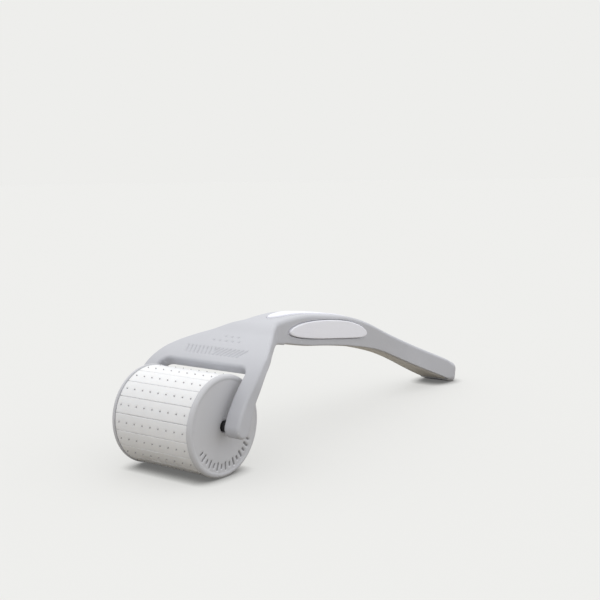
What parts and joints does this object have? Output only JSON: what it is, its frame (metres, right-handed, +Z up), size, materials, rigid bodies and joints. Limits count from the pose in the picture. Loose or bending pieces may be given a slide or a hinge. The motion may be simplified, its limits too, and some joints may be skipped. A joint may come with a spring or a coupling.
{
  "type": "derma roller",
  "caption": "Hand-held skin roller: forked, arched grey handle carrying a white free-turning drum of short needles between its arms.",
  "frame": {"origin": "middle of the bounding box's base, on the surface that the roller stands on", "axes": "+X from the drum to the handle's tail, +Y across the roller along its axle, +Z up from the surface it stands on"},
  "size_m": [0.1092, 0.029, 0.0259],
  "materials": {
    "body_plastic": "fine satin moulded light grey",
    "cover_plastic": "matt moulded grey",
    "disc_plastic": "satin moulded grey",
    "pad": "soft matt white",
    "strip_plastic": "satin white",
    "core_plastic": "plain moulded",
    "steel": "ground pin"
  },
  "bodies": {
    "handle": {"handle_frame": "body_plastic", "underside_cover": "cover_plastic", "thumb_pad": "pad", "side_pad_left": "pad", "side_pad_right": "pad", "axle": "steel"},
    "drum": {"drum_core": "core_plastic", "end_disc_left": "disc_plastic", "end_disc_right": "disc_plastic", "needle_strip_01": "strip_plastic", "needle_strip_02": "strip_plastic", "needle_strip_03": "strip_plastic", "needle_strip_04": "strip_plastic", "needle_strip_05": "strip_plastic", "needle_strip_06": "strip_plastic", "needle_strip_07": "strip_plastic", "needle_strip_08": "strip_plastic", "needle_strip_09": "strip_plastic", "needle_strip_10": "strip_plastic", "needle_strip_11": "strip_plastic", "needle_strip_12": "strip_plastic", "needle_strip_13": "strip_plastic", "needle_strip_14": "strip_plastic", "needle_strip_15": "strip_plastic", "needle_strip_16": "strip_plastic", "needle_strip_17": "strip_plastic", "needle_strip_18": "strip_plastic"}
  },
  "joints": [
    {"name": "drum_spin", "type": "hinge", "parent": "handle", "child": "drum", "pos_m": [-0.04509, 0, 0.0095], "axis": [0, 1, 0], "continuous": true}
  ]
}
